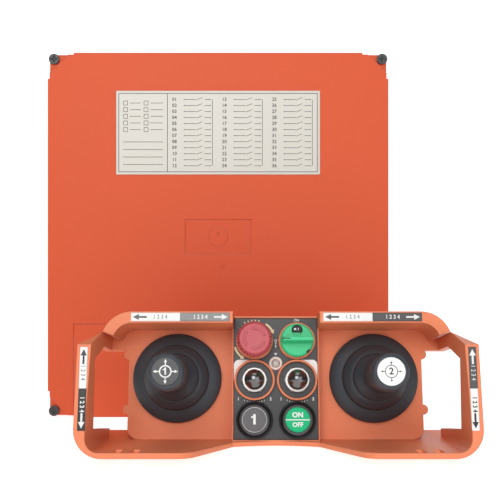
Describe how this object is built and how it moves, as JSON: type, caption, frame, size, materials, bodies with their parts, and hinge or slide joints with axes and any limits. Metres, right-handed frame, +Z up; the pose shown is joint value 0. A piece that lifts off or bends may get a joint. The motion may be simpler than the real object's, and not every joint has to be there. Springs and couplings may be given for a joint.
{
  "type": "crane radio remote control",
  "caption": "Crane radio remote control set: upright wall-mount receiver box and a hand-held transmitter with joysticks, stop button, rotary key switch, toggles and push-buttons.",
  "frame": {"origin": "middle of the receiver box's bottom face, on the surface both units stand on", "axes": "+X to the right and +Z up as seen from the front; the lid and the controls face -Y"},
  "size_m": [0.3313, 0.3032, 0.322],
  "materials": {
    "receiver_plastic": "moulded orange-red plastic, satin",
    "seal_rubber": "soft moulded rubber",
    "black_steel": "blackened steel",
    "printed_label": "printed plastic label",
    "circuit_board": "solder resist",
    "plain_metal": "turned steel",
    "relay_plastic": "moulded plastic",
    "terminal_plastic": "moulded plastic",
    "transformer_steel": "laminated steel",
    "black_plastic": "moulded black plastic",
    "shield_can": "tinned shield",
    "transmitter_plastic": "moulded orange plastic, fine grain",
    "panel_print": "dark printed overlay",
    "battery_sleeve": "shrink sleeve",
    "contact_brass": "sprung brass",
    "strip_print": "printed strip",
    "boot_rubber": "moulded rubber, dusty black",
    "dark_disc": "printed disc",
    "white_disc": "printed disc",
    "stop_red": "glossy red plastic",
    "knob_green": "glossy green plastic",
    "bright_nickel": "bright nickel plate",
    "switch_blue": "moulded plastic",
    "toggle_black": "glossy black rubber cap",
    "lamp_cream": "cream plastic ring",
    "lamp_lens": "clear lens",
    "bezel_black": "black plastic",
    "cap_grey": "dark grey plastic",
    "insert_dark": "printed insert",
    "insert_green": "printed green insert"
  },
  "bodies": {
    "receiver": {"receiver_base": "receiver_plastic", "receiver_lid": "receiver_plastic", "lid_gasket": "seal_rubber", "lid_screws": "black_steel", "wiring_label": "printed_label", "main_board": "circuit_board", "board_standoffs": "plain_metal", "relay_bank": "relay_plastic", "terminal_blocks": "terminal_plastic", "power_transformer": "transformer_steel", "fuse_holders": "black_plastic", "decoder_module": "shield_can", "receiver_antenna": "black_plastic", "cable_bung": "seal_rubber"},
    "transmitter": {"upper_housing": "transmitter_plastic", "side_frames": "transmitter_plastic", "lower_housing": "transmitter_plastic", "housing_gasket": "seal_rubber", "housing_screws": "plain_metal", "control_panel": "panel_print", "battery_cover": "transmitter_plastic", "battery_cover_screws": "plain_metal", "battery_pack": "battery_sleeve", "battery_contacts": "contact_brass", "control_board": "circuit_board", "board_pillars": "plain_metal", "radio_module": "shield_can", "direction_strips": "strip_print", "joystick_boot_1": "boot_rubber", "joystick_boot_2": "boot_rubber", "joystick_base_1": "black_plastic", "joystick_base_2": "black_plastic", "estop_collar": "transmitter_plastic", "estop_block": "relay_plastic", "rotary_ring": "transmitter_plastic", "rotary_block": "relay_plastic", "toggle_guards": "transmitter_plastic", "toggle_nuts": "bright_nickel", "toggle_bodies": "switch_blue", "led_bezel": "lamp_cream", "led_lens": "lamp_lens", "button_bezels": "bezel_black", "button_blocks": "relay_plastic"},
    "gimbal_1": {"gimbal_1": "plain_metal"},
    "stick_1": {"stick_1": "plain_metal", "grip_1": "boot_rubber", "grip_disc_1": "dark_disc"},
    "gimbal_2": {"gimbal_2": "plain_metal"},
    "stick_2": {"stick_2": "plain_metal", "grip_2": "boot_rubber", "grip_disc_2": "white_disc"},
    "estop_plunger": {"estop_stem": "black_plastic"},
    "estop_head": {"estop_head": "stop_red"},
    "rotary_knob": {"rotary_knob": "knob_green"},
    "toggle_1": {"toggle_lever_1": "toggle_black"},
    "toggle_2": {"toggle_lever_2": "toggle_black"},
    "button_1": {"button_cap_1": "cap_grey", "button_insert_1": "insert_dark"},
    "button_2": {"button_cap_2": "cap_grey", "button_insert_2": "insert_green"}
  },
  "joints": [
    {"name": "transmitter_lift", "type": "slide", "parent": "receiver", "child": "transmitter", "axis": [0, 0, 1], "range_m": [0, 0.15]},
    {"name": "joystick_1_up_down", "type": "hinge", "parent": "transmitter", "child": "gimbal_1", "pos_m": [-0.0253, -0.14791, 0.04514], "axis": [1, 0, 0], "range_deg": [-18, 18], "stiffness_Nm_per_rad": 1.2, "deforming": ["joystick_boot_1"]},
    {"name": "joystick_1_left_right", "type": "hinge", "parent": "gimbal_1", "child": "stick_1", "pos_m": [-0.0253, -0.14791, 0.04514], "axis": [0, 0.1736, 0.9848], "range_deg": [-18, 18], "stiffness_Nm_per_rad": 1.2, "deforming": ["joystick_boot_1"]},
    {"name": "joystick_2_up_down", "type": "hinge", "parent": "transmitter", "child": "gimbal_2", "pos_m": [0.1213, -0.14791, 0.04514], "axis": [1, 0, 0], "range_deg": [-18, 18], "stiffness_Nm_per_rad": 1.2, "deforming": ["joystick_boot_2"]},
    {"name": "joystick_2_left_right", "type": "hinge", "parent": "gimbal_2", "child": "stick_2", "pos_m": [0.1213, -0.14791, 0.04514], "axis": [0, 0.1736, 0.9848], "range_deg": [-18, 18], "stiffness_Nm_per_rad": 1.2, "deforming": ["joystick_boot_2"]},
    {"name": "estop_press", "type": "slide", "parent": "transmitter", "child": "estop_plunger", "axis": [0, 0.9848, -0.1736], "range_m": [0, 0.004], "stiffness_N_per_m": 1500},
    {"name": "estop_twist", "type": "hinge", "parent": "estop_plunger", "child": "estop_head", "pos_m": [0.0324, -0.17676, 0.07733], "axis": [0, 0.9848, -0.1736], "range_deg": [0, 30], "stiffness_Nm_per_rad": 0.05},
    {"name": "rotary_turn", "type": "hinge", "parent": "transmitter", "child": "rotary_knob", "pos_m": [0.0636, -0.17676, 0.07733], "axis": [0, 0.9848, -0.1736], "range_deg": [0, 90]},
    {"name": "toggle_1_throw", "type": "hinge", "parent": "transmitter", "child": "toggle_1", "pos_m": [0.0324, -0.17091, 0.04716], "axis": [0, 0.1736, 0.9848], "range_deg": [-12, 12], "stiffness_Nm_per_rad": 0.05},
    {"name": "toggle_2_throw", "type": "hinge", "parent": "transmitter", "child": "toggle_2", "pos_m": [0.0636, -0.17091, 0.04716], "axis": [0, 0.1736, 0.9848], "range_deg": [-12, 12], "stiffness_Nm_per_rad": 0.05},
    {"name": "button_1_press", "type": "slide", "parent": "transmitter", "child": "button_1", "axis": [0, 0.9848, -0.1736], "range_m": [0, 0.003], "stiffness_N_per_m": 800},
    {"name": "button_2_press", "type": "slide", "parent": "transmitter", "child": "button_2", "axis": [0, 0.9848, -0.1736], "range_m": [0, 0.003], "stiffness_N_per_m": 800}
  ]
}
